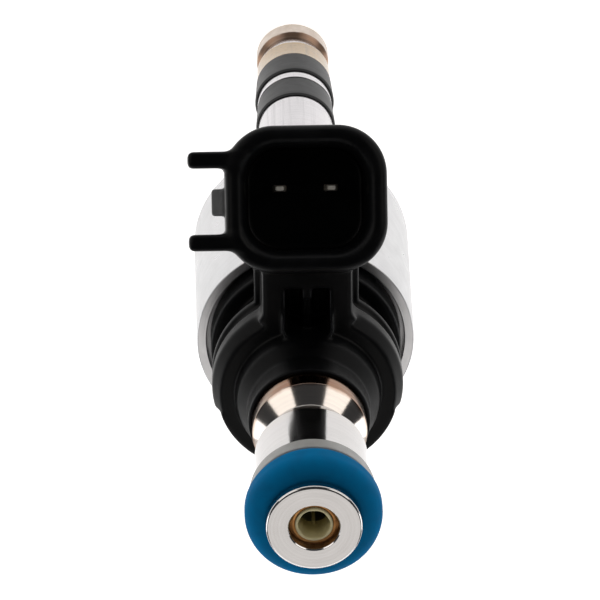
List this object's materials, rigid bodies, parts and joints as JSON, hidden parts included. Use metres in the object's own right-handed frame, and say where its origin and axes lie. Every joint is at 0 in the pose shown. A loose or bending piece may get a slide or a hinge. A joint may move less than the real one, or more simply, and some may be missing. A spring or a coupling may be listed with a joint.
{
  "type": "fuel injector",
  "caption": "Slim solenoid injector: flanged inlet with O-ring, black overmould with angled two-pin socket, round steel housing and long stepped nozzle with two seals.",
  "frame": {"origin": "centre of the nozzle's end face, on the injector axis", "axes": "+Z along the injector axis from the nozzle tip to the fuel inlet; the plug socket is on the -Y side; the plug's guide rails are on the +X side"},
  "size_m": [0.0214, 0.0373, 0.09],
  "materials": {
    "inlet_steel": "turned and polished, faint straw heat tint at the collar",
    "blue_seal": "smooth moulded fluoroelastomer, blue",
    "backup_plastic": "smooth, slightly translucent",
    "filter_brass": "drawn brass, darkened",
    "filter_plastic": "cream moulded plastic",
    "filter_mesh": "fine woven screen",
    "black_plastic": "black glass-filled plastic, satin",
    "terminal_metal": "tin-plated brass",
    "housing_steel": "satin turned steel",
    "soft_iron": "pressed magnetic steel",
    "bobbin_plastic": "brown moulded plastic",
    "copper_wire": "enamelled copper wire",
    "sleeve_steel": "drawn stainless steel",
    "spring_steel": "spring wire",
    "needle_steel": "ground",
    "ball_steel": "lapped",
    "nozzle_steel": "turned and polished, straw heat tint near the tip",
    "tip_steel": "heat tinted, beige to brown",
    "dark_seal": "carbon-filled PTFE"
  },
  "bodies": {
    "injector_body": {"inlet_fitting": "inlet_steel", "inlet_o_ring": "blue_seal", "backup_ring": "backup_plastic", "filter_collar": "filter_brass", "filter_basket": "filter_plastic", "filter_mesh": "filter_mesh", "connector_housing": "black_plastic", "terminal_plus": "terminal_metal", "terminal_minus": "terminal_metal", "solenoid_housing": "housing_steel", "flux_washer": "soft_iron", "coil_bobbin": "bobbin_plastic", "coil_winding": "copper_wire", "valve_sleeve": "sleeve_steel", "pole_core": "soft_iron", "adjusting_sleeve": "sleeve_steel", "return_spring": "spring_steel", "needle_guide": "needle_steel", "nozzle_tube": "nozzle_steel", "valve_seat": "tip_steel", "combustion_seal_lower": "dark_seal", "combustion_seal_upper": "dark_seal"},
    "needle_group": {"needle": "needle_steel", "valve_ball": "ball_steel", "upper_stop_ring": "needle_steel", "lower_stop_ring": "needle_steel", "damper_spring": "spring_steel"},
    "armature": {"armature": "soft_iron"}
  },
  "joints": [
    {"name": "needle_lift", "type": "slide", "parent": "injector_body", "child": "needle_group", "axis": [0, 0, 1], "range_m": [0, 0.00008], "stiffness_N_per_m": 200, "springref_m": -0.001, "deforming": ["return_spring"]},
    {"name": "armature_damping", "type": "slide", "parent": "needle_group", "child": "armature", "axis": [0, 0, 1], "range_m": [-0.00005, 0], "stiffness_N_per_m": 100, "springref_m": 0.001, "deforming": ["damper_spring"]}
  ]
}
